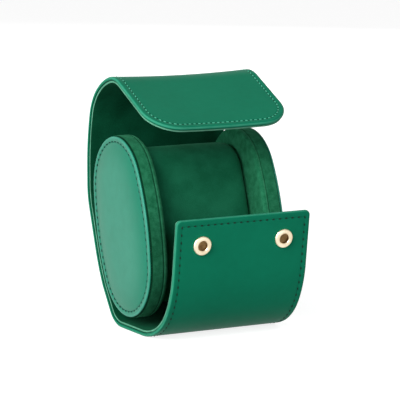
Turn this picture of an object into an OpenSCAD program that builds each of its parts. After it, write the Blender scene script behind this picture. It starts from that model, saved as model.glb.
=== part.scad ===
// Travel case for one watch: a leather wrap that runs from the front flap, under, up the back and
// over the top as the lid, two padded oval cheeks, and a loose pillow between them.
// It stands as it does when left open: leaning back on the flattened underside of the wrap.
// X runs across the case, -Y is the front, +Z is up. The origin is in the middle of the flat underside.

/* [Wrap] */
// Width of the wrap across the lid, back and underside
wrap_w = 84; // [70:0.5:110]
// Width of the front flap and of the toe below it
flap_w = 79; // [68:0.5:84]
// Thickness of the outer leather
leather_t = 1.2; // [0.8:0.1:1.6]
// Thickness of the stiffening board
board_t = 1.1; // [0.8:0.1:1.6]
// Thickness of the suede lining
lining_t = 1; // [0.6:0.1:1.4]
// Width of the leather turned over the board's edge
turned_edge = 1.6; // [1:0.1:3]
// How far the lining stops short of the wrap's edge
lining_inset = 0.6; // [0.2:0.1:1.5]
// Corner radius of the lid
lid_corner_r = 18; // [4:0.5:22]
// Corner radius of the front flap
flap_corner_r = 3; // [1:0.5:8]

/* [Underside and back, along the outer leather] */
// Length of the flat underside that the case stands on
foot_l = 21.7; // [16:0.1:38]
// How far the flat underside reaches behind the middle of the cheeks
foot_back = 2; // [1:0.5:4]
// Angle at which the wrap meets the cheeks' lower edge
meet_angle = 56; // [50:1:58]
// Angle at which the wrap leaves the cheeks' back edge
leave_angle = 70; // [66:1:74]
// Straight rise after the wrap leaves the cheeks
rise_l = 22; // [14:0.5:30]
// Radius of the turn from the rise to upright
upright_r = 40; // [25:1:60]
// Upright stretch of the back
upright_l = 9; // [4:0.5:20]
// Radius of the upper back
upper_back_r = 120; // [80:5:200]
// Turn of the upper back
upper_back_turn = 14; // [8:1:18]

/* [Lid, along the outer leather] */
// Radius of the shoulder behind the top
shoulder_r = 28; // [20:1:40]
// Turn of the shoulder
shoulder_turn = 36; // [28:1:44]
// Radius over the top
crown_r = 40; // [30:1:60]
// Turn over the top
crown_turn = 34; // [28:1:40]
// Radius of the fold where the lid starts
fold_r = 12; // [6:0.5:20]
// Turn of the fold
fold_turn = 30.5; // [24:0.5:38]
// Straight length of the lid in front of the fold
lid_l = 50; // [44:0.5:60]

/* [Front flap, along the outer leather] */
// Radius of the wrap where it leaves the ground
toe_r = 45; // [30:1:60]
// Turn of the toe that stays with the underside
toe_turn = 20; // [12:1:26]
// Radius of the toe above that, where it flexes with the flap
toe_flex_r = 36; // [24:1:48]
// Turn of the toe that flexes with the flap
toe_flex_turn = 20; // [12:1:26]
// Radius of the flap's lower curve
shin_r = 35; // [25:1:60]
// Turn of the flap's lower curve
shin_turn = 20; // [14:1:26]
// Radius of the flap's middle
belly_r = 58; // [45:1:90]
// Turn of the flap's middle
belly_turn = 22; // [14:1:26]
// Straight length below the flap's free edge
flap_l = 30; // [22:0.5:40]

/* [Cheeks] */
// Half the depth of a cheek
cheek_half_d = 32.75; // [30:0.25:36]
// Half the height of a cheek
cheek_half_h = 49.5; // [46:0.5:54]
// Radius of a cheek's round ends
cheek_end_r = 30.5; // [26:0.25:31.5]
// Height of the cheeks' middle above the ground
cheek_z = 56.1; // [55:0.1:59]
// Angle by which the cheeks lean back
cheek_lean = 17; // [13:0.5:20]
// Thickness of a cheek at its edge
cheek_t = 11.3; // [8:0.1:14]
// Distance from a cheek's outer edge to the wrap's side
cheek_side_gap = 0.8; // [0.4:0.1:4]
// Thickness of the board inside a cheek
cheek_board_t = 3; // [2:0.25:4]
// Thickness of the padded suede on a cheek's inside
pad_t = 3; // [2:0.25:4]
// Height of the padded face at its seam
face_rim_h = 1.4; // [1.2:0.1:3]
// Height of the padded face's crown above its edge
face_crown = 0.8; // [0.4:0.1:1.4]
// Distance from the padded face's edge to its seam
face_seam_inset = 3.2; // [2.6:0.1:5]
// Depth of the channel that the seam pulls in
face_seam_depth = 0.35; // [0.1:0.05:0.6]
// Width of that channel's outer slope
channel_w = 0.6; // [0.3:0.1:1]
// Radius of the face's rolled edge
edge_roll = 0.8; // [0.4:0.1:0.9]
// How far the face is drawn in where it meets the band
welt_in = 0.4; // [0:0.1:0.6]
// Thickness of the suede band round a cheek
band_t = 1; // [0.6:0.1:1.5]

/* [Pillow] */
// Half the depth of the pillow
pillow_half_d = 21; // [17:0.5:23]
// Half the height of the pillow
pillow_half_h = 42.5; // [36:0.5:44]
// Radius of the pillow's round ends
pillow_end_r = 19.5; // [14:0.5:20.5]
// How far the pillow's middle lies behind the cheeks' middle
pillow_back = 2.5; // [0:0.5:4]
// Thickness of the suede cover
pillow_cover_t = 1; // [0.6:0.1:2]
// Thickness of an end panel
pillow_end_t = 1.4; // [1:0.1:2.5]
// How far the cover's edge is drawn in at the end seams
pillow_draw = 2.2; // [1:0.1:3.5]
// Distance over which the cover rounds down to its end seams
cover_round = 6; // [3:0.5:10]
// How far the cover swells at its middle
pillow_swell = 0.6; // [0:0.1:1.5]
// How far an end panel rounds in at its edge
end_roll = 2.5; // [1:0.1:4]

/* [Snaps] */
// Distance between the two snaps
snap_pitch = 48.2; // [36:0.2:60]
// Distance from the flap's free edge to the snaps
snap_drop = 14.3; // [10:0.1:18]
// Distance from the lid's free edge to the studs
stud_drop = 9.6; // [8:0.1:14]
// Outer diameter of a socket
socket_d = 10.5; // [9:0.25:12]
// Diameter of a socket's mouth
socket_mouth_d = 5.4; // [5:0.1:7]
// Height of a socket above the leather
socket_h = 1.5; // [1.2:0.1:1.7]
// Radius of a socket's rounded shoulder
socket_roll = 1.2; // [0.5:0.1:1.2]
// Chamfer at a socket's mouth
mouth_chamfer = 0.4; // [0.1:0.1:0.5]
// Height of the spring inside a socket
spring_h = 0.9; // [0.6:0.1:1]
// Thickness of the spring's wall
spring_wall_t = 0.3; // [0.2:0.05:0.4]
// Diameter of a stud's base plate
stud_base_d = 10; // [8:0.25:11]
// Thickness of a stud's base plate
stud_base_t = 0.8; // [0.6:0.1:1]
// Diameter of a stud's head
stud_head_d = 4.6; // [4:0.1:4.9]
// Height of a stud's head above its base
stud_head_h = 1.3; // [1:0.1:1.4]
// How far a stud's neck is narrower than its head
neck_in = 0.3; // [0.2:0.05:0.4]
// Diameter of the rivets that hold the snaps
rivet_d = 3; // [2.6:0.1:3.2]
// Diameter of the rivets' back plates
rivet_plate_d = 9; // [7:0.25:10]
// Thickness of the rivets' back plates
rivet_plate_t = 0.7; // [0.5:0.1:0.9]

/* [Hidden] */

leather_colour = [0.07, 0.45, 0.33];
suede_colour = [0.10, 0.42, 0.27];
lining_colour = [0.03, 0.25, 0.15];
board_colour = [0.55, 0.52, 0.47];
foam_colour = [0.88, 0.86, 0.80];
gold_colour = [0.92, 0.86, 0.70];
brass_colour = [0.55, 0.42, 0.24];

glue_gap = 0.2;     // between a cheek's edge and the lining that it is glued to
seat_gap = 0.3;     // between the pillow's ends and the cheeks
fit_gap = 0.1;      // round the boards and rivets
cut_past = 5;       // how far a cutting solid runs past what it cuts
arc_step = 3;       // longest chord along the wrap
side_steps = 3;     // chords on a quarter of an oval's long side
end_steps = 9;      // chords on a quarter of an oval's round end
spine_w = 3;        // half width of the level top in the middle of a cheek's face
crown_steps = [0.04, 0.1, 0.2, 0.35, 0.6, 1];       // shares of the way from the seam to that top
cover_steps = [0, 0.02, 0.05, 0.1, 0.2, 0.45, 1];   // shares of the way from an end seam to the middle
spring_floor_t = 0.3;
neck_share = 0.5;   // part of the stud's head that its rounding takes
$fn = 48;

wrap_t = leather_t + board_t + lining_t;
hinge_skin_t = leather_t + board_t / 2;
half_w = wrap_w / 2;
cheek_x = half_w - cheek_side_gap;
cheek_in_x = cheek_x - cheek_t;
face_base_x = cheek_x - face_rim_h;
board_x = cheek_in_x + pad_t;
foot_end = foot_l / 2;
cheek_y = foot_end - foot_back;

// ---- the path of the outer leather: points are [y, z, heading], and the inside is on the left
function after_line(s, l) = [s[0] + l * cos(s[2]), s[1] + l * sin(s[2]), s[2]];
function after_arc(s, r, turn) =
    [s[0] + r * (sin(s[2] + turn) - sin(s[2])), s[1] - r * (cos(s[2] + turn) - cos(s[2])), s[2] + turn];
function stretch_points(s, stretch) =
    stretch[0] == 0
    ? [after_line(s, stretch[1])]
    : let (n = max(2, ceil(stretch[0] * stretch[1] * PI / 180 / arc_step)))
      [for (i = [1:n]) after_arc(s, stretch[0], stretch[1] * i / n)];
function walk(s, stretches, i = 0) =
    i == len(stretches)
    ? []
    : let (p = stretch_points(s, stretches[i])) concat(p, walk(p[len(p) - 1], stretches, i + 1));
function path(s, stretches) = concat([s], walk(s, stretches));
function last(list) = list[len(list) - 1];
function reversed(list) = [for (i = [len(list) - 1:-1:0]) list[i]];
// a path walked towards the front is mirrored, and then turned round so that it runs as the rest does
function towards_front(list) = reversed([for (p = list) [-p[0], p[1], -p[2]]]);

// ---- an oval of four arcs: [depth, height] at a normal's angle, grown by grow
function side_r(half_d, half_h, end_r) =
    (half_d * half_d + pow(half_h - end_r, 2) - end_r * end_r) / (2 * (half_d - end_r));
function join_angle(o) = atan((o[1] - o[2]) / (side_r(o[0], o[1], o[2]) - o[0]));
function oval_point(o, a, grow) =
    let (big = side_r(o[0], o[1], o[2]), b = asin(abs(sin(a))), on_side = b <= join_angle(o),
         u = on_side ? (big + grow) * cos(b) - (big - o[0]) : (o[2] + grow) * cos(b),
         v = on_side ? (big + grow) * sin(b) : o[1] - o[2] + (o[2] + grow) * sin(b))
    [cos(a) < 0 ? -u : u, sin(a) < 0 ? -v : v];
function quarter_angles(o) =
    let (j = join_angle(o))
    concat([for (i = [0:side_steps - 1]) j * i / side_steps],
           [for (i = [0:end_steps - 1]) j + (90 - j) * i / end_steps]);
function oval_angles(o) =
    let (q = quarter_angles(o))
    concat(q, [90], [for (i = [len(q) - 1:-1:1]) 180 - q[i]], [180], [for (i = [1:len(q) - 1]) 180 + q[i]],
           [270], [for (i = [len(q) - 1:-1:1]) 360 - q[i]]);
function oval_ring(o, grow) = [for (a = oval_angles(o)) oval_point(o, a, grow)];

cheek = [cheek_half_d, cheek_half_h, cheek_end_r];
pillow = [pillow_half_d, pillow_half_h, pillow_end_r];

// ---- where the wrap runs: flat underside, a turn, a straight, then round the cheeks' lower back
hug = glue_gap + wrap_t;
end_centre = [cheek_y - (cheek_half_h - cheek_end_r) * sin(cheek_lean),
              cheek_z - (cheek_half_h - cheek_end_r) * cos(cheek_lean)];
hug_end_r = cheek_end_r + hug;
hug_side_r = side_r(cheek_half_d, cheek_half_h, cheek_end_r) + hug;
side_starts = 90 - join_angle(cheek) - cheek_lean;
meet = [end_centre[0] + hug_end_r * sin(meet_angle), end_centre[1] - hug_end_r * cos(meet_angle)];
heel_r = ((meet[0] - foot_end) * sin(meet_angle) - meet[1] * cos(meet_angle))
    / (1 - cos(meet_angle));
heel_l = (meet[1] - heel_r * (1 - cos(meet_angle))) / sin(meet_angle);

foot_start = [-foot_end, 0, 0];
toe_path = path([foot_end, 0, 0], [[toe_r, toe_turn]]);
flap_hinge_path = path(last(toe_path), [[toe_flex_r, toe_flex_turn], [shin_r, shin_turn]]);
flap_path = path(last(flap_hinge_path), [[belly_r, belly_turn], [0, flap_l]]);
base_path = concat(towards_front(toe_path), walk(foot_start, [
    [0, foot_l], [heel_r, meet_angle], [0, heel_l], [hug_end_r, side_starts - meet_angle],
    [hug_side_r, leave_angle - side_starts], [0, rise_l]
]));
back_hinge_path = path(last(base_path), [
    [upright_r, 90 - leave_angle], [0, upright_l], [upper_back_r, upper_back_turn]
]);
lid_path = path(last(back_hinge_path), [
    [shoulder_r, shoulder_turn], [crown_r, crown_turn], [fold_r, fold_turn], [0, lid_l]
]);
lid_end = last(lid_path);
flap_end = last(flap_path);

// ---- solids along the path
function inside(p, d) = [p[0] - d * sin(p[2]), p[1] + d * cos(p[2])];
function past_ends(list, l) =
    concat([after_line(list[0], -l)], list, [after_line(last(list), l)]);

module layer(list, from, to, w) {
    rotate([90, 0, 90]) translate([0, 0, -w / 2])
        linear_extrude(w)
            polygon(concat([for (p = list) inside(p, from)], [for (p = reversed(list)) inside(p, to)]));
}

function corner(c, r, from, steps) =
    [for (i = [0:steps]) let (a = from + 90 * i / steps) c + r * [cos(a), sin(a)]];

// the lid's outline, seen square to the lid: it runs back from the free edge, with round front corners
module lid_outline(inset) {
    r = lid_corner_r - inset;
    w = half_w - inset;
    translate([0, lid_end[0], lid_end[1]]) rotate([180 + lid_end[2], 0, 0])
        translate([0, inset, -wrap_w])
            linear_extrude(2 * wrap_w)
                polygon(concat(corner([-w + r, r], r, 180, 10), corner([w - r, r], r, 270, 10),
                               [[w, 3 * wrap_w], [-w, 3 * wrap_w]]));
}

// the flap's outline, seen from the front
module flap_outline(inset) {
    r = flap_corner_r - min(inset, flap_corner_r / 2);
    w = flap_w / 2 - inset;
    top_z = flap_end[1] - inset;
    rotate([90, 0, 0]) translate([0, 0, -wrap_w])
        linear_extrude(3 * wrap_w)
            polygon(concat([[-w, -cut_past], [w, -cut_past]],
                           corner([w - r, top_z - r], r, 0, 6), corner([-w + r, top_z - r], r, 90, 6)));
}

// the outline of the wrap's base, seen from above: under the case it narrows towards the flap
module base_outline(inset) {
    w = half_w - inset;
    toe_w = flap_w / 2 - inset;
    translate([0, 0, -cut_past])
        linear_extrude(2 * cheek_z)
            polygon([[w, meet[0]], [w, wrap_w], [-w, wrap_w], [-w, meet[0]],
                     [-toe_w, -foot_end], [-toe_w, -wrap_w], [toe_w, -wrap_w], [toe_w, -foot_end]]);
}

flap_list = towards_front(flap_path);
flap_hinge_list = towards_front(flap_hinge_path);

// the pocket that a board fills under the leather that is turned over its edges
module board_space(list) {
    intersection() {
        layer(list, leather_t, leather_t + board_t + cut_past, wrap_w);
        base_outline(turned_edge);
    }
}

// ---- places on the flap and the lid, with +Z out of the leather or out of the lining
module on_flap(side) {
    s = after_line([-flap_end[0], flap_end[1], -flap_end[2]], snap_drop);
    translate([side * snap_pitch / 2, s[0], s[1]]) rotate([180 + s[2], 0, 0]) children();
}

module on_lid(side) {
    s = after_line(lid_end, -stud_drop);
    p = inside(s, wrap_t);
    translate([side * snap_pitch / 2, p[0], p[1]]) rotate([s[2], 0, 0]) children();
}

// ---- ovals: in these, X is outward from the case, Y the depth and Z the height before leaning
module on_side(side, back = 0) {
    mirror([side < 0 ? 1 : 0, 0, 0])
        translate([0, cheek_y, cheek_z]) rotate([-cheek_lean, 0, 0]) translate([0, back, 0]) children();
}

module oval_plate(o, grow, from, to) {
    rotate([90, 0, 90]) translate([0, 0, from]) linear_extrude(to - from) polygon(oval_ring(o, grow));
}

// a padded form on an oval: rings of [x, grow] in order of x, closed by a flat at each end
module padded(o, rings) {
    n = len(oval_angles(o));
    k = len(rings);
    points = [for (r = rings) for (p = oval_ring(o, r[1])) [r[0], p[0], p[1]]];
    sides = [for (j = [0:k - 2]) for (i = [0:n - 1])
        [j * n + i, (j + 1) * n + i, (j + 1) * n + (i + 1) % n, j * n + (i + 1) % n]];
    polyhedron(points, concat([[for (i = [0:n - 1]) i]], sides, [[for (i = [n - 1:-1:0]) (k - 1) * n + i]]));
}

// ---- the wrap under and behind the cheeks
module base_leather() {
    color(leather_colour) difference() {
        intersection() {
            layer(base_path, 0, leather_t + board_t, wrap_w);
            base_outline(0);
        }
        board_space(past_ends(base_path, cut_past));
    }
}

module base_board() {
    color(board_colour) intersection() {
        layer(base_path, leather_t, leather_t + board_t, wrap_w);
        base_outline(turned_edge);
    }
}

module base_lining() {
    color(lining_colour) intersection() {
        layer(base_path, leather_t + board_t, wrap_t, wrap_w);
        base_outline(lining_inset);
    }
}

// the back above the cheeks has no board: it bends when the lid is moved
module back_hinge_leather() {
    color(leather_colour) layer(back_hinge_path, 0, hinge_skin_t, wrap_w);
}

module back_hinge_lining() {
    color(lining_colour) layer(back_hinge_path, hinge_skin_t, wrap_t, wrap_w - 2 * lining_inset);
}

// ---- the lid
module lid_leather() {
    color(leather_colour) difference() {
        intersection() {
            layer(lid_path, 0, leather_t + board_t, wrap_w);
            lid_outline(0);
        }
        intersection() {
            layer(past_ends(lid_path, cut_past), leather_t, leather_t + board_t + cut_past, wrap_w);
            lid_outline(turned_edge);
        }
    }
}

module lid_board() {
    color(board_colour) difference() {
        intersection() {
            layer(lid_path, leather_t, leather_t + board_t, wrap_w);
            lid_outline(turned_edge);
        }
        for (side = [-1, 1])
            on_lid(side) lid_rivet_space();
    }
}

module lid_lining() {
    color(lining_colour) difference() {
        intersection() {
            layer(lid_path, leather_t + board_t, wrap_t, wrap_w);
            lid_outline(lining_inset);
        }
        for (side = [-1, 1])
            on_lid(side) lid_rivet_space();
    }
}

// ---- the front flap
module flap_hinge_leather() {
    color(leather_colour) intersection() {
        layer(flap_hinge_list, 0, hinge_skin_t, wrap_w);
        flap_outline(0);
    }
}

module flap_hinge_lining() {
    color(lining_colour) intersection() {
        layer(flap_hinge_list, hinge_skin_t, wrap_t, wrap_w);
        flap_outline(lining_inset);
    }
}

module flap_leather() {
    color(leather_colour) difference() {
        intersection() {
            layer(flap_list, 0, leather_t + board_t, wrap_w);
            flap_outline(0);
        }
        intersection() {
            layer(past_ends(flap_list, cut_past), leather_t, leather_t + board_t + cut_past, wrap_w);
            flap_outline(turned_edge);
        }
        for (side = [-1, 1])
            on_flap(side) flap_rivet_space();
    }
}

module flap_board() {
    color(board_colour) difference() {
        intersection() {
            layer(flap_list, leather_t, leather_t + board_t, wrap_w);
            flap_outline(turned_edge);
        }
        for (side = [-1, 1])
            on_flap(side) flap_rivet_space();
    }
}

module flap_lining() {
    color(lining_colour) intersection() {
        layer(flap_list, leather_t + board_t, wrap_t, wrap_w);
        flap_outline(lining_inset);
    }
}

// ---- a cheek, from its outer face inwards
// the face is padded leather: a rolled edge, a sewn channel and a low crown inside it
module cheek_face(side) {
    seam_x = cheek_x - face_seam_depth;
    rise = face_seam_depth + face_crown;
    reach = cheek_half_d - face_seam_inset - spine_w;
    on_side(side)
        padded(cheek, concat(
            [[face_base_x, -welt_in], [face_base_x + welt_in, -welt_in / 3]],
            [for (a = [0:30:90]) [cheek_x - edge_roll * (1 - sin(a)), -edge_roll * (1 - cos(a))]],
            [[cheek_x - face_seam_depth / 3, -face_seam_inset + channel_w], [seam_x, -face_seam_inset]],
            [for (t = crown_steps)
                [seam_x + rise * (1 - pow(1 - t, 4)), -face_seam_inset - reach * t]]));
}

module cheek_foam(side) {
    on_side(side) oval_plate(cheek, -band_t, board_x + cheek_board_t, face_base_x);
}

module cheek_board(side) {
    on_side(side) oval_plate(cheek, -band_t, board_x, board_x + cheek_board_t);
}

// the suede band runs round the edge of the board and the foam
module cheek_band(side) {
    on_side(side) difference() {
        oval_plate(cheek, 0, board_x, face_base_x);
        oval_plate(cheek, -band_t, board_x - cut_past, face_base_x + cut_past);
    }
}

// the inner pad is suede over a thin wadding: flat towards the pillow, with a rolled edge
module cheek_pad(side) {
    on_side(side)
        padded(cheek, concat(
            [for (a = [90:-18:0]) [cheek_in_x + pad_t * (1 - sin(a)), -pad_t * (1 - cos(a))]],
            [[board_x, 0]]));
}

module left_cheek_face() { color(leather_colour) cheek_face(-1); }
module left_cheek_foam() { color(foam_colour) cheek_foam(-1); }
module left_cheek_board() { color(board_colour) cheek_board(-1); }
module left_cheek_band() { color(suede_colour) cheek_band(-1); }
module left_cheek_pad() { color(suede_colour) cheek_pad(-1); }
module right_cheek_face() { color(leather_colour) cheek_face(1); }
module right_cheek_foam() { color(foam_colour) cheek_foam(1); }
module right_cheek_board() { color(board_colour) cheek_board(1); }
module right_cheek_band() { color(suede_colour) cheek_band(1); }
module right_cheek_pad() { color(suede_colour) cheek_pad(1); }

// ---- the pillow: a foam core in a suede cover, drawn in at the two end seams
pillow_half_l = cheek_in_x - seat_gap;
cover_half_l = pillow_half_l - pillow_end_t;
core_grow = -pillow_draw - pillow_cover_t;

module pillow_core() {
    color(foam_colour) on_side(1, pillow_back) oval_plate(pillow, core_grow, -cover_half_l, cover_half_l);
}

module pillow_cover() {
    half = [for (t = cover_steps)
        [cover_half_l * (1 - t), -pillow_draw * pow(1 - min(1, t * cover_half_l / cover_round), 2.2)
            + pillow_swell * sin(90 * t)]];
    color(suede_colour) on_side(1, pillow_back) difference() {
        padded(pillow, concat([for (p = half) [-p[0], p[1]]],
                              [for (i = [len(half) - 2:-1:0]) half[i]]));
        oval_plate(pillow, core_grow, -wrap_w, wrap_w);
    }
}

module pillow_end(side) {
    on_side(side, pillow_back)
        padded(pillow, concat([for (a = [0:22.5:90])
            [cover_half_l + pillow_end_t * sin(a), -pillow_draw - end_roll * (1 - cos(a))]]));
}

module left_pillow_end() { color(suede_colour) pillow_end(-1); }
module right_pillow_end() { color(suede_colour) pillow_end(1); }

// ---- the snaps: a socket and its spring on the flap, a stud under the lid, a rivet through each
rivet_r = rivet_d / 2;
spring_d = socket_mouth_d;

module flap_rivet_space() {
    translate([0, 0, -leather_t - rivet_plate_t - fit_gap])
        cylinder(h = rivet_plate_t + fit_gap, d = rivet_plate_d + 2 * fit_gap);
    translate([0, 0, -leather_t - fit_gap]) cylinder(h = leather_t + cut_past, d = rivet_d + 2 * fit_gap);
}

module snap_rivet(side) {
    on_flap(side) {
        translate([0, 0, -leather_t - rivet_plate_t]) cylinder(h = rivet_plate_t, d = rivet_plate_d);
        translate([0, 0, -leather_t]) cylinder(h = leather_t + spring_floor_t, d = rivet_d);
    }
}

module snap_socket(side) {
    r = socket_d / 2;
    on_flap(side) rotate_extrude()
        polygon(concat([[socket_mouth_d / 2, 0], [r, 0]],
                       [for (a = [0:22.5:90])
                           [r - socket_roll * (1 - cos(a)), socket_h - socket_roll * (1 - sin(a))]],
                       [[socket_mouth_d / 2 + mouth_chamfer, socket_h],
                        [socket_mouth_d / 2, socket_h - mouth_chamfer]]));
}

module snap_spring(side) {
    on_flap(side) difference() {
        cylinder(h = spring_h, d = spring_d);
        translate([0, 0, spring_floor_t]) cylinder(h = spring_h, d = spring_d - 2 * spring_wall_t);
        translate([0, 0, -cut_past]) cylinder(h = 2 * cut_past, d = rivet_d + 2 * fit_gap);
    }
}

module lid_rivet_space() {
    translate([0, 0, -lining_t - board_t])
        cylinder(h = rivet_plate_t + fit_gap, d = rivet_plate_d + 2 * fit_gap);
    translate([0, 0, -lining_t - board_t + rivet_plate_t])
        cylinder(h = lining_t + board_t, d = rivet_d + 2 * fit_gap);
}

module lid_rivet(side) {
    on_lid(side) {
        translate([0, 0, -lining_t - board_t]) cylinder(h = rivet_plate_t, d = rivet_plate_d);
        translate([0, 0, -lining_t - board_t + rivet_plate_t])
            cylinder(h = lining_t + board_t - rivet_plate_t + stud_base_t, d = rivet_d);
    }
}

// the stud's head is a mushroom: narrower at its neck, rounded at its top
module lid_stud(side) {
    r = stud_head_d / 2;
    on_lid(side) rotate_extrude()
        polygon(concat([[rivet_r + fit_gap, 0], [stud_base_d / 2, 0],
                        [stud_base_d / 2, stud_base_t / 2], [stud_base_d / 2 - stud_base_t / 2, stud_base_t],
                        [r - neck_in, stud_base_t]],
                       [for (a = [-30:20:90])
                           [r - neck_in * (1 - cos(a)),
                            stud_base_t + stud_head_h * (1 - neck_share * (1 - sin(a)))]],
                       [[0, stud_base_t + stud_head_h], [0, stud_base_t + fit_gap],
                        [rivet_r + fit_gap, stud_base_t + fit_gap]]));
}

module left_snap_socket() { color(gold_colour) snap_socket(-1); }
module right_snap_socket() { color(gold_colour) snap_socket(1); }
module left_snap_spring() { color(brass_colour) snap_spring(-1); }
module right_snap_spring() { color(brass_colour) snap_spring(1); }
module left_snap_rivet() { color(brass_colour) snap_rivet(-1); }
module right_snap_rivet() { color(brass_colour) snap_rivet(1); }
module left_lid_stud() { color(gold_colour) lid_stud(-1); }
module right_lid_stud() { color(gold_colour) lid_stud(1); }
module left_lid_rivet() { color(brass_colour) lid_rivet(-1); }
module right_lid_rivet() { color(brass_colour) lid_rivet(1); }

base_leather();
base_board();
base_lining();
back_hinge_leather();
back_hinge_lining();
lid_leather();
lid_board();
lid_lining();
flap_hinge_leather();
flap_hinge_lining();
flap_leather();
flap_board();
flap_lining();
left_cheek_face();
left_cheek_foam();
left_cheek_board();
left_cheek_band();
left_cheek_pad();
right_cheek_face();
right_cheek_foam();
right_cheek_board();
right_cheek_band();
right_cheek_pad();
pillow_core();
pillow_cover();
left_pillow_end();
right_pillow_end();
left_snap_socket();
right_snap_socket();
left_snap_spring();
right_snap_spring();
left_snap_rivet();
right_snap_rivet();
left_lid_stud();
right_lid_stud();
left_lid_rivet();
right_lid_rivet();
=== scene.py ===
from math import ceil, cos, pi, radians, sin

import bmesh
import bpy
from mathutils import Euler, Matrix, Vector
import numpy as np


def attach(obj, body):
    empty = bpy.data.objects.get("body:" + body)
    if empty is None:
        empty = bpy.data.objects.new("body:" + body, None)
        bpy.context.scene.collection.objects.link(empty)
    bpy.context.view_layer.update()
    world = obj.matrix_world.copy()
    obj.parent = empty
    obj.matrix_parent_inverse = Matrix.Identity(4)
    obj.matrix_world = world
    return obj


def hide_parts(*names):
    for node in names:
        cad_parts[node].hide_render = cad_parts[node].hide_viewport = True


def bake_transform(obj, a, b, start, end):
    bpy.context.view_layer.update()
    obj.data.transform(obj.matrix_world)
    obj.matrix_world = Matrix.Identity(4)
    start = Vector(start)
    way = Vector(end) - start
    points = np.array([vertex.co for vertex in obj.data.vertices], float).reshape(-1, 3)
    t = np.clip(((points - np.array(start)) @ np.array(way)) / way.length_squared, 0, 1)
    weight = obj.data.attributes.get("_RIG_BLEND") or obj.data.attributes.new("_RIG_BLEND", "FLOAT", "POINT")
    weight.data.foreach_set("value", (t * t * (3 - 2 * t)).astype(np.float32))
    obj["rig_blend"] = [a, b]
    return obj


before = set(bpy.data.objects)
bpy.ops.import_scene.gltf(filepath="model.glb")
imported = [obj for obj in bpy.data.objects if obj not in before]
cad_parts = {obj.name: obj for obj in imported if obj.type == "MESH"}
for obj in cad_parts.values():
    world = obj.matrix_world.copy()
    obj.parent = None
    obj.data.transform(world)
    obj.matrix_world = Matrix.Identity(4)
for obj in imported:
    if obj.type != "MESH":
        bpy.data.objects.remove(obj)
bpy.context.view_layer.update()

MM = 0.001

# ---------------------------------------------------------------------------------------------
# Boards and foam. Grey pulp board stiffens the base, the lid, the flap and both cheeks, and
# pale foam pads the cheeks and fills the pillow. They are die-cut, glued in and then covered.
# ---------------------------------------------------------------------------------------------


def new_material(name, roughness, metallic=0.0):
    """A material with its node tree and its Principled shader, ready for a pattern."""
    material = bpy.data.materials.new(name)
    material.use_nodes = True
    shader = material.node_tree.nodes["Principled BSDF"]
    shader.inputs["Roughness"].default_value = roughness
    shader.inputs["Metallic"].default_value = metallic
    return material, material.node_tree, shader


def new_group(name, kind, inputs, outputs):
    """An empty node group with sockets of one kind, and the nodes that hold those sockets."""
    group = bpy.data.node_groups.new(name, "ShaderNodeTree")
    for names, side in ((inputs, "INPUT"), (outputs, "OUTPUT")):
        for socket in names:
            group.interface.new_socket(socket, in_out=side, socket_type=kind)
    return group, group.nodes.new("NodeGroupInput"), group.nodes.new("NodeGroupOutput")


def add(tree, kind, **values):
    """Adds one node, with its sockets set by name."""
    node = tree.nodes.new(kind)
    for name, value in values.items():
        node.inputs[name.replace("_", " ")].default_value = value
    return node


def mottling_group():
    """Two noises, one broad and one fine: a shade from 0 to 1, and a height for the bump."""
    group, inside, outside = new_group("mottling", "NodeSocketFloat", ("Broad Scale", "Fine Scale"),
                                       ("Shade", "Height"))
    place = group.nodes.new("ShaderNodeTexCoord")
    broad = add(group, "ShaderNodeTexNoise", Detail=3.0)
    fine = add(group, "ShaderNodeTexNoise", Detail=4.0)
    both = group.nodes.new("ShaderNodeMix")
    fine_share = 0.35
    both.inputs[0].default_value = fine_share
    for noise, scale in ((broad, "Broad Scale"), (fine, "Fine Scale")):
        group.links.new(place.outputs["Object"], noise.inputs["Vector"])
        group.links.new(inside.outputs[scale], noise.inputs["Scale"])
    group.links.new(broad.outputs["Fac"], both.inputs[2])
    group.links.new(fine.outputs["Fac"], both.inputs[3])
    group.links.new(both.outputs[0], outside.inputs["Shade"])
    group.links.new(fine.outputs["Fac"], outside.inputs["Height"])
    return group


mottling = mottling_group()


def mottled(name, dark, light, roughness, broad, fine, bump, contrast=(0.35, 0.65), metallic=0.0):
    """A finish that shades from dark to light by the mottling, with its fine noise as relief."""
    material, tree, shader = new_material(name, roughness, metallic)
    pattern = tree.nodes.new("ShaderNodeGroup")
    pattern.node_tree = mottling
    pattern.inputs["Broad Scale"].default_value = broad
    pattern.inputs["Fine Scale"].default_value = fine
    ramp = tree.nodes.new("ShaderNodeValToRGB")
    for stop, position, colour in zip(ramp.color_ramp.elements, contrast, (dark, light)):
        stop.position = position
        stop.color = (*colour, 1)
    relief = add(tree, "ShaderNodeBump", Strength=1.0, Distance=bump)
    tree.links.new(pattern.outputs["Shade"], ramp.inputs["Fac"])
    tree.links.new(ramp.outputs["Color"], shader.inputs["Base Color"])
    tree.links.new(pattern.outputs["Height"], relief.inputs["Height"])
    tree.links.new(relief.outputs["Normal"], shader.inputs["Normal"])
    return material


def finish_node(name, material):
    """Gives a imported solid, which keeps its shape, its finish."""
    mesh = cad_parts[name].data
    mesh.materials.clear()
    mesh.materials.append(material)


pulp_board = mottled("pulp_board", dark=(0.23, 0.20, 0.16), light=(0.36, 0.33, 0.28), roughness=0.9,
                     broad=90, fine=1400, bump=0.05 * MM)
pale_foam = mottled("pale_foam", dark=(0.62, 0.59, 0.50), light=(0.78, 0.75, 0.66), roughness=0.95,
                    broad=120, fine=1800, bump=0.12 * MM)
for node in ("base_board", "lid_board", "flap_board", "left_cheek_board", "right_cheek_board"):
    finish_node(node, pulp_board)
for node in ("left_cheek_foam", "right_cheek_foam", "pillow_core"):
    finish_node(node, pale_foam)

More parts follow.
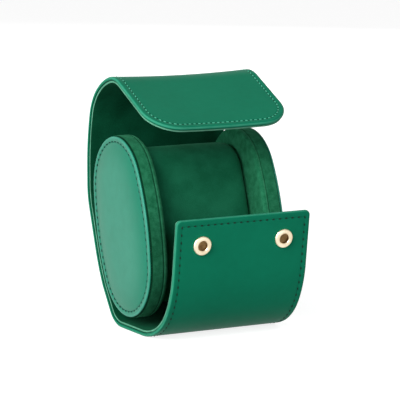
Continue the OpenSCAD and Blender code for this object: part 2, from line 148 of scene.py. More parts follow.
# ---------------------------------------------------------------------------------------------
# Wrap leather. Smooth green coated leather, cut flat as one strip, turned round the boards'
# edges and sewn. Here it is two pieces that meet under the case: the back one runs up the back
# and over the top as the lid, and the front one is the flap. Each is cut flat and then bent.
# ---------------------------------------------------------------------------------------------

wrap_w, flap_w = 84 * MM, 79 * MM
lid_corner_r, flap_corner_r = 18 * MM, 3 * MM
leather_t, board_t, lining_t = 1.2 * MM, 1.1 * MM, 1.0 * MM
skin_t = leather_t + board_t
wrap_t = skin_t + lining_t
turned_edge = 1.6 * MM

# the flat underside, and the cheeks, which the back strip's curve is worked out from
foot_l, foot_back = 21.7 * MM, 2 * MM
cheek_y, cheek_z, cheek_lean = foot_l / 2 - foot_back, 56.1 * MM, radians(17)
cheek_half_d, cheek_half_h, cheek_end_r = 32.75 * MM, 49.5 * MM, 30.5 * MM


def side_radius(half_d, half_h, end_r):
    """Radius of an oval's long sides, which run smoothly into its round ends."""
    return (half_d**2 + (half_h - end_r) ** 2 - end_r**2) / (2 * (half_d - end_r))


def side_angle(half_d, half_h, end_r):
    """Angle that half of an oval's long side turns through."""
    return Vector((side_radius(half_d, half_h, end_r) - half_d, half_h - end_r)).angle(Vector((1, 0)))


# the wrap meets the cheeks at one angle and leaves them at another, and between the two it hugs
# them at this distance; the heel is an arc and a straight length that lead up to that place
meet, leave = radians(56), radians(70)
glue_t = 0.2 * MM
hug = glue_t + wrap_t
hug_y = cheek_y - (cheek_half_h - cheek_end_r) * sin(cheek_lean) + (cheek_end_r + hug) * sin(meet)
hug_z = cheek_z - (cheek_half_h - cheek_end_r) * cos(cheek_lean) - (cheek_end_r + hug) * cos(meet)
heel_r = ((hug_y - foot_l / 2) * sin(meet) - hug_z * cos(meet)) / (1 - cos(meet))
heel_l = (hug_z - heel_r * (1 - cos(meet))) / sin(meet)
cheek_side_r = side_radius(cheek_half_d, cheek_half_h, cheek_end_r)
side_starts = pi / 2 - side_angle(cheek_half_d, cheek_half_h, cheek_end_r) - cheek_lean

# a strip is a row of arcs (radius, turn) and straight lengths (0, length) along the outer face
# of the leather; both strips start in the middle of the underside
back_strip = [
    (0, foot_l / 2),  # half of the underside
    (heel_r, meet),  # heel
    (0, heel_l),
    (cheek_end_r + hug, side_starts - meet),  # round the cheeks' lower ends
    (cheek_side_r + hug, leave - side_starts),  # along the cheeks' backs
    (0, 22 * MM),  # the rise that bends
    (40 * MM, pi / 2 - leave),  # turn to upright
    (0, 9 * MM),
    (120 * MM, radians(14)),  # upper back
    (28 * MM, radians(36)),  # shoulder
    (40 * MM, radians(28.2)),  # crown
    (20 * MM, radians(36.3)),  # fold at the crown's front
    (0, 47.63 * MM),  # lid
]
front_strip = [
    (0, foot_l / 2),  # half of the underside
    (45 * MM, radians(20)),  # toe
    (36 * MM, radians(20)),  # the toe's bend
    (35 * MM, radians(20)),  # shin
    (58 * MM, radians(22)),  # belly
    (0, 30 * MM),  # flap
]
rows_to_cheeks, rows_to_shoulder, rows_to_fold = 3, 9, 11


def run(stretch):
    """Length of an arc or of a straight length."""
    radius, amount = stretch
    return radius * amount if radius else amount


def strip_length(strip):
    """Length of a strip or of some of its rows."""
    return sum(run(stretch) for stretch in strip)


def trace(strip, along):
    """Place and heading after going this far along arcs and straight lengths."""
    ahead = up = heading = 0.0
    for i, (radius, amount) in enumerate(strip):
        here = along if i == len(strip) - 1 else min(along, run((radius, amount)))
        if radius:
            turned = heading + here / radius
            ahead += radius * (sin(turned) - sin(heading))
            up -= radius * (cos(turned) - cos(heading))
            heading = turned
        else:
            ahead += here * cos(heading)
            up += here * sin(heading)
        along -= here
        if along <= 0:
            break
    return ahead, up, heading


def bent(strip, along, height):
    """Where a point of the flat strip ends up: y and z, with its height towards the inside."""
    ahead, up, heading = trace(strip, along)
    return ahead - height * sin(heading), up + height * cos(heading)


# the underside narrows from the lid's width, where the wrap meets the cheeks, to the flap's
heel_end = strip_length(back_strip[:rows_to_cheeks])
heel_y = trace(back_strip, heel_end)[0]


def width_share(y):
    """Width of the wrap over a place on the ground, as a share of the lid's width."""
    widened = min(1, max(0, (y + foot_l / 2) / (heel_y + foot_l / 2)))
    return (flap_w + (wrap_w - flap_w) * widened) / wrap_w


# the stretched leather curls outwards a little towards both sides, more and more from the
# shoulder to the fold, and then all along the lid
side_curl = 1.2 * MM
curl_starts = strip_length(back_strip[:rows_to_shoulder])
curl_full = strip_length(back_strip[:rows_to_fold])


def bend_back(mesh):
    """Bends a flat piece of the back strip: up the back and over the top."""
    for v in mesh.verts:
        along = v.co.y
        share = min(1, max(0, (along - curl_starts) / (curl_full - curl_starts)))
        # over the whole width this curl, less a third, comes to nothing
        curl = side_curl * share * ((2 * v.co.x / wrap_w) ** 2 - 1 / 3)
        v.co.y, v.co.z = bent(back_strip, along, v.co.z - curl)
        v.co.x *= width_share(trace(back_strip, min(along, heel_end))[0])


def bend_front(mesh):
    """Bends a flat piece of the front strip: under the toe and up as the flap."""
    for v in mesh.verts:
        along = v.co.y
        y, v.co.z = bent(front_strip, along, v.co.z)
        v.co.x *= width_share(-along)
        v.co.y = -y


def new_mesh():
    """An empty mesh whose points can be marked as lying on a rim or in a sewn groove."""
    mesh = bmesh.new()
    for kind in ("rim", "groove"):
        mesh.verts.layers.float.new(kind)
    return mesh


def mark(mesh, kind, low, high, amount=1.0):
    """Marks the points between two heights as lying on the piece's rim or in a groove."""
    layer = mesh.verts.layers.float[kind]
    for v in mesh.verts:
        v[layer] = amount if low < v.co.z < high else 0.0


def raised_points(raised):
    """The points among what an extrusion made."""
    return [g for g in raised if isinstance(g, bmesh.types.BMVert)]


def cut_flat(length, inset_by, corner_r, low, high):
    """A flat strip with rounded far corners, from height low to high, too long at the near end."""
    spare = 12 * MM
    mesh = new_mesh()
    bmesh.ops.create_grid(mesh, x_segments=1, y_segments=1, size=0.5)
    bmesh.ops.scale(mesh, verts=mesh.verts, vec=(wrap_w - 2 * inset_by, length - inset_by + spare, 1))
    bmesh.ops.translate(mesh, verts=mesh.verts, vec=(0, (length - inset_by - spare) / 2, low))
    far = [v for v in mesh.verts if v.co.y > 0]
    bmesh.ops.bevel(mesh, geom=far, affect="VERTICES", offset=corner_r - inset_by, segments=12,
                    profile=0.5, material=-1)
    raised = bmesh.ops.extrude_face_region(mesh, geom=mesh.faces[:])["geom"]
    bmesh.ops.translate(mesh, verts=raised_points(raised), vec=(0, 0, high - low))
    bmesh.ops.recalc_face_normals(mesh, faces=mesh.faces)
    return mesh


def round_edges(mesh, radius, segments):
    """Rounds every edge where two faces meet at more than 60 degrees."""
    sharp = [e for e in mesh.edges if len(e.link_faces) == 2 and e.calc_face_angle() > pi / 3]
    bmesh.ops.bevel(mesh, geom=sharp, affect="EDGES", offset=radius, segments=segments, profile=0.5,
                    material=-1)


def level_face(mesh, height):
    """The largest face that lies level at this height."""
    level = [f for f in mesh.faces
             if abs(f.calc_center_median().z - height) < 0.01 * MM and abs(f.normal.z) > 0.9]
    return max(level, key=lambda f: f.calc_area())


def inset(mesh, face, width, depth, rim=0.0, groove=0.0):
    """Insets a face, moves it along its own normal, and marks the points of its new outline."""
    bmesh.ops.inset_region(mesh, faces=[face], thickness=width, depth=depth, use_even_offset=True,
                           use_boundary=True)
    for v in face.verts:
        v[mesh.verts.layers.float["rim"]] = rim
        v[mesh.verts.layers.float["groove"]] = groove


cut_gap = 0.001 * MM


def past(element, place):
    """Whether a vertex, or any corner of an edge or face, lies on a cut or past it."""
    corners = [element] if isinstance(element, bmesh.types.BMVert) else element.verts
    return any(v.co.y > place - cut_gap for v in corners)


def slice_for_bending(mesh, strip, step=2.0 * MM, columns=10):
    """Cuts a flat strip lengthwise and across, at even steps, and trims its near end."""
    whole = mesh.verts[:] + mesh.edges[:] + mesh.faces[:]
    for i in range(1, columns):
        place = wrap_w * (i / columns - 0.5)
        whole = bmesh.ops.bisect_plane(mesh, geom=whole, dist=cut_gap, plane_co=(place, 0, 0),
                                       plane_no=(1, 0, 0))["geom"]
    ahead = bmesh.ops.bisect_plane(mesh, geom=whole, dist=cut_gap, plane_co=(0, 0, 0), plane_no=(0, -1, 0),
                                   clear_outer=True)["geom"]
    bmesh.ops.edgeloop_fill(mesh, edges=[e for e in mesh.edges if e.is_boundary])
    at = 0.0
    for stretch in strip:
        count = max(1, ceil(run(stretch) / step))
        for i in range(count):
            place = at + run(stretch) * (i + 1) / count
            cut = bmesh.ops.bisect_plane(mesh, geom=ahead, dist=cut_gap, plane_co=(0, place, 0),
                                         plane_no=(0, 1, 0))["geom"]
            ahead = [g for g in cut if past(g, place)]
        at += run(stretch)


def piece(name, mesh, material):
    """Makes the object of a finished mesh, with smooth faces and even shading beside its edges."""
    bmesh.ops.recalc_face_normals(mesh, faces=mesh.faces)
    data = bpy.data.meshes.new(name)
    mesh.to_mesh(data)
    mesh.free()
    data.materials.append(material)
    data.polygons.foreach_set("use_smooth", [True] * len(data.polygons))
    data.set_sharp_from_angle(angle=radians(40))
    made = bpy.data.objects.new(name, data)
    bpy.context.scene.collection.objects.link(made)
    made.modifiers.new("even_shading", "WEIGHTED_NORMAL").keep_sharp = True
    return made


# the stitches lie in the middle of a groove, which has a sloped wall on each side of its floor
seam_in = 3.4 * MM
edge_r, edge_flat = 1.0 * MM, 0.4 * MM
groove_wall, groove_floor, groove_back, groove_depth = 0.4 * MM, 0.3 * MM, 0.5 * MM, 0.2 * MM


def turned_skin(length, corner_r, groove):
    """Leather with a round turned edge, a shallow sewn groove, and a pocket for the board."""
    mesh = cut_flat(length, 0, corner_r, 0, skin_t)
    round_edges(mesh, edge_r, 4)
    # a painted highlight on the rounded outer edge, and painted shade beside the lining, where the two
    # layers meet
    mark(mesh, "rim", 0.2 * MM, edge_r + 0.1 * MM)
    mark(mesh, "groove", skin_t - 0.6 * MM, skin_t + 0.1 * MM)
    outer = level_face(mesh, 0)
    inset(mesh, outer, edge_flat, 0)
    inset(mesh, outer, seam_in - groove_floor / 2 - groove_wall - edge_r - edge_flat, 0)
    # on a small corner the arc is used up here, so its points become one
    bmesh.ops.remove_doubles(mesh, verts=outer.verts[:], dist=0.4 * MM)
    outer = level_face(mesh, 0)
    # the groove's points are painted darker, as shade in the groove
    inset(mesh, outer, groove_wall, -groove_depth, groove=groove)
    inset(mesh, outer, groove_floor, 0, groove=groove)
    inset(mesh, outer, groove_back, groove_depth)
    # the pocket's wall leans by a hair, so that no two of its points coincide
    inner = level_face(mesh, skin_t)
    inset(mesh, inner, turned_edge - edge_r, 0)
    inset(mesh, inner, 0.01 * MM, -board_t)
    return mesh


def marked(tree, kind):
    """How strongly each point is marked, as a value."""
    found = tree.nodes.new("ShaderNodeAttribute")
    found.attribute_name = kind
    return found.outputs["Fac"]


def mixed_in(tree, amount, first, second):
    """The first colour with this amount of the second in it."""
    mix = tree.nodes.new("ShaderNodeMix")
    mix.data_type = "RGBA"
    for socket, source in ((0, amount), (6, first), (7, second)):
        tree.links.new(source, mix.inputs[socket])
    return mix.outputs[2]


def rim_highlight_and_groove_shade_group():
    """Turns a colour paler in patches on a piece's rim, as a painted highlight, and darker in its grooves,
    as painted shade.
    """
    group, inside, outside = new_group("rim_highlight_and_groove_shade", "NodeSocketColor",
                                       ("Colour", "Rim Highlight Colour", "Groove Shade Colour"), ("Result",))
    place = group.nodes.new("ShaderNodeTexCoord")
    patches = add(group, "ShaderNodeTexNoise", Scale=160.0, Detail=3.0)
    rim_patches = add(group, "ShaderNodeMapRange", From_Min=0.3, From_Max=0.6, To_Min=0.6, To_Max=1.0)
    patchy_rim_highlight = group.nodes.new("ShaderNodeMath")
    patchy_rim_highlight.operation = "MULTIPLY"
    group.links.new(place.outputs["Object"], patches.inputs["Vector"])
    group.links.new(patches.outputs["Fac"], rim_patches.inputs["Value"])
    group.links.new(rim_patches.outputs["Result"], patchy_rim_highlight.inputs[0])
    group.links.new(marked(group, "rim"), patchy_rim_highlight.inputs[1])
    # the rim is painted paler as a highlight, and the grooves darker as shade
    paler = mixed_in(group, patchy_rim_highlight.outputs[0], inside.outputs["Colour"], inside.outputs["Rim Highlight Colour"])
    result = mixed_in(group, marked(group, "groove"), paler, inside.outputs["Groove Shade Colour"])
    group.links.new(result, outside.inputs["Result"])
    return group


rim_highlight_and_groove_shade = rim_highlight_and_groove_shade_group()


def shade_marks(material, rim, groove):
    """Puts the rim's painted highlight and the grooves' painted shade between a material's pattern and its
    base colour.
    """
    tree = material.node_tree
    base_colour = tree.nodes["Principled BSDF"].inputs["Base Color"]
    marks = tree.nodes.new("ShaderNodeGroup")
    marks.node_tree = rim_highlight_and_groove_shade
    marks.inputs["Rim Highlight Colour"].default_value = (*rim, 1)
    marks.inputs["Groove Shade Colour"].default_value = (*groove, 1)
    tree.links.new(base_colour.links[0].from_socket, marks.inputs["Colour"])
    tree.links.new(marks.outputs["Result"], base_colour)


def leather_finish(name, colour, rim, groove, roughness, gloss, gloss_tint):
    """Smooth coated leather: a faint cloudiness, and a very fine pebbled grain."""
    dark, light = [c * 0.94 for c in colour], [c * 1.06 for c in colour]
    material = mottled(name, dark, light, roughness, broad=28, fine=260, bump=0.015 * MM)
    shade_marks(material, rim, groove)
    tree = material.node_tree
    shader = tree.nodes["Principled BSDF"]
    relief = next(n for n in tree.nodes if n.type == "BUMP")
    place = tree.nodes.new("ShaderNodeTexCoord")
    pebbles = add(tree, "ShaderNodeTexVoronoi", Scale=1500.0)
    grain = add(tree, "ShaderNodeBump", Strength=0.4, Distance=0.025 * MM)
    tree.links.new(place.outputs["Object"], pebbles.inputs["Vector"])
    tree.links.new(pebbles.outputs["Distance"], grain.inputs["Height"])
    tree.links.new(relief.outputs["Normal"], grain.inputs["Normal"])
    tree.links.new(grain.outputs["Normal"], shader.inputs["Normal"])
    shader.inputs["Specular IOR Level"].default_value = gloss
    shader.inputs["Specular Tint"].default_value = (*gloss_tint, 1)
    return material


# rim: a painted highlight on the rounded edges; groove: painted shade in the sewn groove and beside the
# lining
green_leather = leather_finish("green_leather", colour=(0.005, 0.168, 0.090), rim=(0.035, 0.26, 0.16),
                               groove=(0.001, 0.060, 0.030), roughness=0.45, gloss=0.045,
                               gloss_tint=(0.12, 0.75, 0.5))

# where the wrap bends when the lid or the flap is moved
back_bend = ((0, 50.0 * MM, 60.4 * MM), (0, 47.3 * MM, 112.2 * MM))
flap_bend = ((0, -26.2 * MM, 2.7 * MM), (0, -44.9 * MM, 18.3 * MM))

back_skin_mesh = turned_skin(strip_length(back_strip), lid_corner_r, groove=1.0)
slice_for_bending(back_skin_mesh, back_strip)
bend_back(back_skin_mesh)
back_skin = piece("back_and_lid_leather", back_skin_mesh, green_leather)
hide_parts("base_leather", "back_hinge_leather", "lid_leather")
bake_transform(back_skin, "root", "lid", *back_bend)

front_skin_mesh = turned_skin(strip_length(front_strip), flap_corner_r, groove=0.15)
slice_for_bending(front_skin_mesh, front_strip)
bend_front(front_skin_mesh)
front_skin = piece("front_flap_leather", front_skin_mesh, green_leather)
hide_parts("flap_hinge_leather", "flap_leather")
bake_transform(front_skin, "root", "front_flap", *flap_bend)

# ---------------------------------------------------------------------------------------------
# Wrap lining. Dark green suede with a short nap, glued over the board and the turned leather,
# a little short of the wrap's edge. Its colour is darkened further as painted shade for the inside
# of the case. Its own cut edge is sealed with a paler edge paint, paler still as a painted highlight.
# ---------------------------------------------------------------------------------------------

lining_inset = 0.6 * MM


def suede_finish(name, dark, light, rim, patches, sheen, bump):
    """Suede: brushed patches of lighter and darker nap over fine fibres, with a soft sheen."""
    material = mottled(name, dark, light, 0.95, broad=patches, fine=1900, bump=bump, contrast=(0.38, 0.62))
    # rims take a painted highlight, and grooves a quarter of the dark colour as painted shade
    shade_marks(material, rim, groove=[c * 0.25 for c in dark])
    shader = material.node_tree.nodes["Principled BSDF"]
    shader.inputs["Specular IOR Level"].default_value = 0.08
    shader.inputs["Specular Tint"].default_value = (0.15, 0.75, 0.4, 1)
    shader.inputs["Sheen Weight"].default_value = sheen
    shader.inputs["Sheen Roughness"].default_value = 0.45
    shader.inputs["Sheen Tint"].default_value = (0.2, 0.8, 0.45, 1)
    return material


# both colours are darker than the suede, as painted shade inside the case; the rim is edge paint with a
# painted highlight
lining_suede = suede_finish("lining_suede", dark=(0.002, 0.050, 0.022), light=(0.0045, 0.084, 0.039),
                            rim=(0.12, 0.36, 0.24), patches=60, sheen=0.05, bump=0.06 * MM)


def lining_strip(length, corner_r):
    """The lining of one strip, flat, with its painted edge marked as its rim, which also takes a painted
    highlight.
    """
    mesh = cut_flat(length, lining_inset, corner_r, skin_t, wrap_t)
    round_edges(mesh, 0.35 * MM, 2)
    mark(mesh, "rim", skin_t + 0.05 * MM, wrap_t - 0.05 * MM)
    return mesh


back_lining_mesh = lining_strip(strip_length(back_strip), lid_corner_r)
slice_for_bending(back_lining_mesh, back_strip)
bend_back(back_lining_mesh)
back_lining = piece("back_and_lid_lining", back_lining_mesh, lining_suede)
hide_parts("base_lining", "back_hinge_lining", "lid_lining")
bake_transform(back_lining, "root", "lid", *back_bend)

front_lining_mesh = lining_strip(strip_length(front_strip), flap_corner_r)
slice_for_bending(front_lining_mesh, front_strip)
bend_front(front_lining_mesh)
front_lining = piece("front_flap_lining", front_lining_mesh, lining_suede)
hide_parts("flap_hinge_lining", "flap_lining")
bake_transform(front_lining, "root", "front_flap", *flap_bend)

# ---------------------------------------------------------------------------------------------
# Wrap seam. One line of lockstitch runs along both sides and round the free edge of each strip,
# through the leather and the turned edge. Each stitch is a short run of thread in the groove.
# ---------------------------------------------------------------------------------------------


def places_along(path, start, heading, pitch):
    """Even places, with their headings, along a path of arcs and straight lengths."""
    total = strip_length(path)
    count = round(total / pitch)
    turn = Matrix.Rotation(heading, 2)
    for i in range(count):
        ahead, up, turned = trace(path, (i + 0.5) * total / count)
        x, y = Vector(start) + turn @ Vector((ahead, up))
        yield x, y, heading + turned


def stitch(mesh, place, length, width, height):
    """One stitch: a flattened bead of thread, a little aslant, with its ends in the leather."""
    x, y, heading = place
    slant = radians(6)
    laid = Matrix.LocRotScale((x, y, height), Matrix.Rotation(heading + slant, 3, "Z").to_quaternion(),
                              (length, width, width * 0.8))
    bmesh.ops.create_uvsphere(mesh, u_segments=6, v_segments=5, radius=0.5,
                              matrix=laid @ Matrix.Rotation(pi / 2, 4, "Y"))


def thread_finish(name, colour):
    """Twisted polyester thread: fine slanting strands, without much shine."""
    material = mottled(name, [c * 0.7 for c in colour], colour, 0.6, broad=900, fine=4000, bump=0.05 * MM)
    material.node_tree.nodes["Principled BSDF"].inputs["Specular IOR Level"].default_value = 0.15
    return material


def seam_stitches(strip, corner_r, pitch, stitch_l, thread_d):
    """The flat strip's stitches, from one side round the free edge to the other."""
    half, end = wrap_w / 2 - seam_in, strip_length(strip) - seam_in
    r = max(corner_r - seam_in, 0.4 * MM)
    path = [(0, end - r), (r, pi / 2), (0, 2 * (half - r)), (r, pi / 2), (0, end - r)]
    sunk = 0.05 * MM
    mesh = bmesh.new()
    for place in places_along(path, (half, 0), pi / 2, pitch):
        stitch(mesh, place, stitch_l, thread_d, sunk)
    return mesh


lid_thread = thread_finish("lid_thread", (0.100, 0.560, 0.370))
# the flap's stitches are near black: painted shade for the needle holes between them
flap_thread_painted_shade = thread_finish("flap_thread_painted_shade", (0.0006, 0.022, 0.012))

back_stitches = seam_stitches(back_strip, lid_corner_r, 2.8 * MM, 1.6 * MM, 0.6 * MM)
bend_back(back_stitches)
back_seam = piece("back_and_lid_seam", back_stitches, lid_thread)
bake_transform(back_seam, "root", "lid", *back_bend)

front_stitches = seam_stitches(front_strip, flap_corner_r, 4.1 * MM, 1.7 * MM, 0.8 * MM)
bend_front(front_stitches)
front_seam = piece("front_flap_seam", front_stitches, flap_thread_painted_shade)
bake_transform(front_seam, "root", "front_flap", *flap_bend)

# ---------------------------------------------------------------------------------------------
# Cheeks. Each end of the case is an oval board: padded leather outside with a sewn channel
# near its rolled edge, suede round its rim, and a suede pad with a rolled edge inside. They are
# glued to the base of the wrap, and lean back with it.
# ---------------------------------------------------------------------------------------------

cheek_x = wrap_w / 2 - 0.8 * MM
cheek_t, face_rim_h, pad_t = 11.3 * MM, 1.4 * MM, 3.0 * MM
face_base = cheek_x - face_rim_h
pad_base = cheek_x - cheek_t + pad_t
band_h = face_base - pad_base
welt_in = 0.4 * MM
channel_in = 3.2 * MM
rolled_r = 0.7 * MM


def oval(mesh, half_d, half_h, end_r, side_steps=10, end_steps=40):
    """A closed oval face of four arcs, spun from one vertex, in the plane z = 0."""
    side_r, angle = side_radius(half_d, half_h, end_r), side_angle(half_d, half_h, end_r)
    tip = mesh.verts.new((half_d - side_r + side_r * cos(angle), -side_r * sin(angle), 0))
    arcs = [((half_d - side_r, 0), 2 * angle, side_steps), ((0, half_h - end_r), pi - 2 * angle, end_steps),
            ((side_r - half_d, 0), 2 * angle, side_steps), ((0, end_r - half_h), pi - 2 * angle, end_steps)]
    for centre, turn, steps in arcs:
        spun = bmesh.ops.spin(mesh, geom=[tip], cent=(*centre, 0), axis=(0, 0, 1), angle=turn, steps=steps)
        tip = raised_points(spun["geom_last"])[0]
    bmesh.ops.remove_doubles(mesh, verts=mesh.verts, dist=0.01 * MM)
    return bmesh.ops.edgeloop_fill(mesh, edges=mesh.edges[:])["faces"][0]


def raise_face(mesh, face, height):
    """Extrudes a face straight up, and returns the raised face."""
    inside = all(len(e.link_faces) > 1 for e in face.edges)
    raised = bmesh.ops.extrude_face_region(mesh, geom=[face])["geom"]
    bmesh.ops.translate(mesh, verts=raised_points(raised), vec=(0, 0, height))
    # a face that closed the shape would be left behind as a wall inside it
    if inside and face.is_valid:
        bmesh.ops.delete(mesh, geom=[face], context="FACES_ONLY")
    bmesh.ops.recalc_face_normals(mesh, faces=mesh.faces)
    return next(g for g in raised if isinstance(g, bmesh.types.BMFace))


def raised_oval(height):
    """The cheek's own oval, raised to a slab."""
    mesh = new_mesh()
    raise_face(mesh, oval(mesh, cheek_half_d, cheek_half_h, cheek_end_r), height)
    return mesh


def set_up(mesh, side, base, back):
    """Stands a flat oval up: its height points out of the case on that side, and it leans back."""
    bmesh.ops.translate(mesh, verts=mesh.verts, vec=(back, 0, base))
    upright = Matrix(((0, 0, side), (1, 0, 0), (0, 1, 0))).to_4x4()
    bmesh.ops.transform(mesh, matrix=upright, verts=mesh.verts)
    bmesh.ops.rotate(mesh, verts=mesh.verts, cent=(0, 0, 0), matrix=Matrix.Rotation(-cheek_lean, 3, "X"))
    bmesh.ops.translate(mesh, verts=mesh.verts, vec=(0, cheek_y, cheek_z))


def cheek_piece(name, side, mesh, base, material, back=0.0, smoothed=False):
    """Stands a piece of a cheek or of the pillow up in its place on the root body."""
    set_up(mesh, side, base, back)
    made = piece(name, mesh, material)
    if smoothed:
        smooth = made.modifiers.new("smooth", "SUBSURF")
        smooth.levels = smooth.render_levels = 1
        made.modifiers.move(1, 0)
    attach(made, "root")
    return made


# rim: a painted highlight on the rolled edge and the crown; groove: painted shade in the sewn channel
cheek_leather = leather_finish("cheek_leather", colour=(0.006, 0.168, 0.096), rim=(0.06, 0.34, 0.24),
                               groove=(0.005, 0.120, 0.068), roughness=0.40, gloss=0.30,
                               gloss_tint=(0.45, 0.95, 0.95))
# rim: a painted highlight on the pad's edge; groove: painted shade along the band's fold and beside it
cheek_suede = suede_finish("cheek_suede", dark=(0.009, 0.108, 0.047), light=(0.022, 0.178, 0.086),
                           rim=(0.05, 0.25, 0.13), patches=320, sheen=0.15, bump=0.12 * MM)
cheek_thread = thread_finish("cheek_thread", (0.0015, 0.045, 0.028))

# the padded face from its rolled edge to its middle: how far in and how far up each step goes,
# in millimetres, and how far its line is marked as rim, a painted highlight, and as groove, painted
# shade; the crown's rim marks paint a highlight that grows towards the middle
face_steps = (
    (0.5, 0.02, 0.25, 0), (0.9, -0.03, 0.1, 0), (0.4, -0.12, 0.3, 0),  # rolled edge
    (0.35, -0.22, 0, 1), (0.3, 0, 0, 1), (0.45, 0.30, 0.12, 0.3),  # sewn channel
    (0.8, 0.22, 0, 0), (1.6, 0.32, 0, 0), (2.4, 0.36, 0.03, 0),  # rise of the padding
    (3.2, 0.32, 0.1, 0), (4.5, 0.22, 0.18, 0), (6.0, 0.10, 0.22, 0),  # crown
)


def padded_face():
    """The padded leather: rolled edge, sewn channel, then a crown that is fullest in the middle."""
    mesh = new_mesh()
    top = oval(mesh, cheek_half_d - welt_in, cheek_half_h - welt_in, cheek_end_r - welt_in)
    raise_face(mesh, top, face_rim_h)
    round_edges(mesh, rolled_r, 3)
    # a painted highlight along the rolled edge
    mark(mesh, "rim", face_rim_h - 0.6 * MM, face_rim_h + 0.1 * MM, 0.6)
    top = level_face(mesh, face_rim_h)
    for width, rise, rim, groove in face_steps:
        inset(mesh, top, width * MM, rise * MM, rim, groove)
    return mesh


def channel_stitches():
    """Short stitches sunk in the face's channel, all the way round."""
    d, h, r = cheek_half_d - channel_in, cheek_half_h - channel_in, cheek_end_r - channel_in
    side_r, angle = side_radius(d, h, r), side_angle(d, h, r)
    path = [(side_r, angle), (r, pi - 2 * angle), (side_r, 2 * angle), (r, pi - 2 * angle), (side_r, angle)]
    sunk = 0.12 * MM
    mesh = bmesh.new()
    for place in places_along(path, (d, 0), pi / 2, 3.7 * MM):
        stitch(mesh, place, 1.7 * MM, 0.75 * MM, face_rim_h - sunk)
    return mesh


def suede_band():
    """Suede round the rim, folded a little over the board's outer edge, where it lies in shadow."""
    mesh = raised_oval(band_h)
    round_edges(mesh, rolled_r, 3)
    # a painted shadow along the fold, beside the face
    mark(mesh, "groove", band_h - 0.6 * MM, band_h + 0.1 * MM)
    return mesh


def inner_pad():
    """Suede over thin wadding: widely rolled at its free face, and pulled in beside the band."""
    mesh = raised_oval(pad_t)
    for height, roll in ((0, 2.2 * MM), (pad_t, 0.6 * MM)):
        bmesh.ops.bevel(mesh, geom=level_face(mesh, height).edges[:], affect="EDGES", offset=roll,
                        segments=5, profile=0.5, material=-1)
    # a painted highlight on the pad beside the band, and painted shade where the two meet
    mark(mesh, "rim", pad_t - 1.2 * MM, pad_t - 0.5 * MM, 0.35)
    mark(mesh, "groove", pad_t - 0.4 * MM, pad_t + 0.1 * MM, 0.7)
    return mesh


for side, hand in ((-1, "left"), (1, "right")):
    face = cheek_piece(f"{hand}_cheek_leather", side, padded_face(), face_base, cheek_leather,
                       smoothed=True)
    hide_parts(f"{hand}_cheek_face")
    cheek_piece(f"{hand}_cheek_seam", side, channel_stitches(), face_base, cheek_thread)
    band = cheek_piece(f"{hand}_cheek_band", side, suede_band(), pad_base, cheek_suede)
    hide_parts(f"{hand}_cheek_band")
    pad = cheek_piece(f"{hand}_cheek_pad", side, inner_pad(), pad_base - pad_t, cheek_suede)
    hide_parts(f"{hand}_cheek_pad")

# ---------------------------------------------------------------------------------------------
# Pillow. A loose foam roll in a suede cover, drawn in at the seam of each end panel and fullest
# at its middle. It is held between the cheeks, and slides out at the front.
# ---------------------------------------------------------------------------------------------

pillow_half_d, pillow_half_h, pillow_end_r = 21 * MM, 42.5 * MM, 19.5 * MM
pillow_back = 2.5 * MM
pillow_clearance = 0.3 * MM
pillow_half_l = cheek_x - cheek_t - pillow_clearance
pillow_suede = suede_finish("pillow_suede", dark=(0.006, 0.098, 0.046), light=(0.011, 0.138, 0.068),
                            rim=(0.02, 0.2, 0.1), patches=90, sheen=0.15, bump=0.09 * MM)

# shares of the way from an end seam to the middle, and how far the cover is drawn in there
cover_steps = ((0, 2.2), (0.03, 1.35), (0.08, 0.75), (0.16, 0.3), (0.3, 0.08), (0.6, 0.0), (1, 0.0))

# an end panel from its seam to its middle: how far in and how far out each step goes
end_steps = ((0.5, -0.25), (0.5, 0.25), (1.2, 0.5), (3.0, 0.3), (6.0, 0.1))
end_bulge = sum(rise for width, rise in end_steps) * MM


def draw_in(mesh, ring, before, after):
    """Shrinks a ring of the cover, from one drawn-in depth to another."""
    depth, height = [(half - after) / (half - before) for half in (pillow_half_d, pillow_half_h)]
    bmesh.ops.scale(mesh, verts=ring, vec=(depth, height, 1))


def pillow_cover():
    """The cover, raised ring by ring from one end seam to the other, with both end panels."""
    mesh = new_mesh()
    seam_draw = cover_steps[0][1] * MM
    top = oval(mesh, pillow_half_d - seam_draw, pillow_half_h - seam_draw, pillow_end_r - seam_draw)
    steps = [*cover_steps, *((2 - share, draw) for share, draw in reversed(cover_steps[:-1]))]
    for (share, draw), (next_share, next_draw) in zip(steps, steps[1:]):
        top = raise_face(mesh, top, (next_share - share) * (pillow_half_l - end_bulge))
        draw_in(mesh, top.verts[:], draw * MM, next_draw * MM)
    panels = [f for f in mesh.faces if abs(f.normal.z) > 0.99 and len(f.verts) > 4]
    for panel in panels:
        for width, rise in end_steps:
            inset(mesh, panel, width * MM, rise * MM)
    return mesh


cover = cheek_piece("pillow_cover", 1, pillow_cover(), end_bulge - pillow_half_l, pillow_suede,
                    back=pillow_back, smoothed=True)
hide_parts("pillow_cover", "left_pillow_end", "right_pillow_end")

# ---------------------------------------------------------------------------------------------
# Snaps. Pale gold sockets on the flap, with a darker spring in the mouth, and studs under the
# lid; rivets with back plates hold them. The plates are covered by the leather and the lining.
# ---------------------------------------------------------------------------------------------

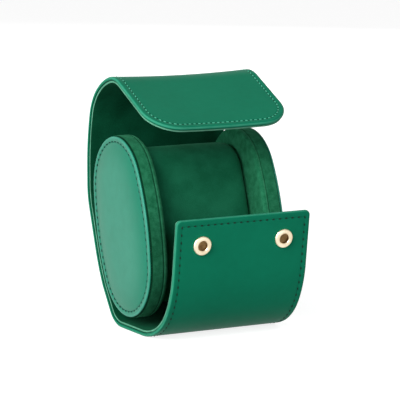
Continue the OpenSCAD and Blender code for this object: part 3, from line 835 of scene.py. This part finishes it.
pale_gold = mottled("pale_gold", dark=(0.70, 0.57, 0.38), light=(0.86, 0.75, 0.56), roughness=0.28,
                    broad=200, fine=2500, bump=0.004 * MM, metallic=1.0)
old_brass = mottled("old_brass", dark=(0.10, 0.055, 0.02), light=(0.27, 0.165, 0.07), roughness=0.38,
                    broad=260, fine=2500, bump=0.01 * MM, metallic=1.0)
for hand in ("left", "right"):
    finish_node(f"{hand}_snap_socket", pale_gold)
    # the studs under the lid take the dark brass as painted shade beneath the lid
    for part in ("snap_spring", "snap_rivet", "lid_stud", "lid_rivet"):
        finish_node(f"{hand}_{part}", old_brass)

# ---------------------------------------------------------------------------------------------
# Studio. A white floor and white surroundings, two large soft lamps on the left, weak ones at
# the front and behind, and the camera where the photograph was taken from.
# ---------------------------------------------------------------------------------------------


def shine(tree, lit, seen, socket):
    """Gives one strength to what lights the case, and another to what is seen or mirrored."""
    rays = tree.nodes.new("ShaderNodeLightPath")
    is_seen = rays.outputs["Is Camera Ray"]
    for kind in ("Is Glossy Ray", "Is Transmission Ray"):
        either = tree.nodes.new("ShaderNodeMath")
        either.operation = "MAXIMUM"
        tree.links.new(is_seen, either.inputs[0])
        tree.links.new(rays.outputs[kind], either.inputs[1])
        is_seen = either.outputs[0]
    level = add(tree, "ShaderNodeMapRange", To_Min=lit, To_Max=seen)
    tree.links.new(is_seen, level.inputs["Value"])
    tree.links.new(level.outputs["Result"], socket)


floor_mesh = bmesh.new()
bmesh.ops.create_grid(floor_mesh, x_segments=1, y_segments=1, size=3.0)
floor_data = bpy.data.meshes.new("floor")
floor_mesh.to_mesh(floor_data)
floor_mesh.free()
floor = bpy.data.objects.new("floor", floor_data)
bpy.context.scene.collection.objects.link(floor)
floor_paint, floor_tree, floor_shader = new_material("floor_paint", 0.8)
floor_shader.inputs["Base Color"].default_value = (0.45, 0.45, 0.45, 1)
floor_shader.inputs["Specular IOR Level"].default_value = 0.1
floor_shader.inputs["Emission Color"].default_value = (1, 1, 1, 1)
shine(floor_tree, 0.0, 0.83, floor_shader.inputs["Emission Strength"])
floor_data.materials.append(floor_paint)

world = bpy.data.worlds.new("studio")
world.use_nodes = True
bpy.context.scene.world = world
sky = world.node_tree.nodes["Background"]
sky.inputs["Color"].default_value = (1, 1, 1, 1)
shine(world.node_tree, 0.12, 1.0, sky.inputs["Strength"])

lamp_size = 0.9
lamp_aim = Vector((0, 0, 0.065))


def lamp(name, place, watts, glossy=True):
    """A square soft box, aimed at the middle of the case, that may leave no highlights."""
    light = bpy.data.lights.new(name, "AREA")
    light.shape, light.size, light.energy = "SQUARE", lamp_size, watts
    made = bpy.data.objects.new(name, light)
    made.location = place
    made.rotation_euler = (lamp_aim - Vector(place)).to_track_quat("-Z", "Y").to_euler()
    made.visible_glossy = glossy
    bpy.context.scene.collection.objects.link(made)


lamp("key_box", (-1.12, -0.77, 0.91), 23)
lamp("side_box", (-1.57, -0.16, 0.34), 16)
lamp("front_box", (0.16, -1.57, 0.34), 7)
lamp("back_box", (0.95, 1.15, 0.65), 9, glossy=False)

# the camera stands to the front left, turned to the right and dipped a little
camera_place = Vector((-579.7, -1147.65, 282.9)) * MM
camera_turn, camera_dip = radians(26.8874), radians(9.449)
camera = bpy.data.cameras.new("camera")
camera.sensor_width, camera.lens = 36, 216.1
camera_object = bpy.data.objects.new("camera", camera)
bpy.context.scene.collection.objects.link(camera_object)
camera_heading = Euler((pi / 2 - camera_dip, 0, -camera_turn)).to_matrix().to_4x4()
camera_object.matrix_world = Matrix.Translation(camera_place) @ camera_heading
bpy.context.scene.camera = camera_object
bpy.context.scene.view_settings.view_transform = "Standard"
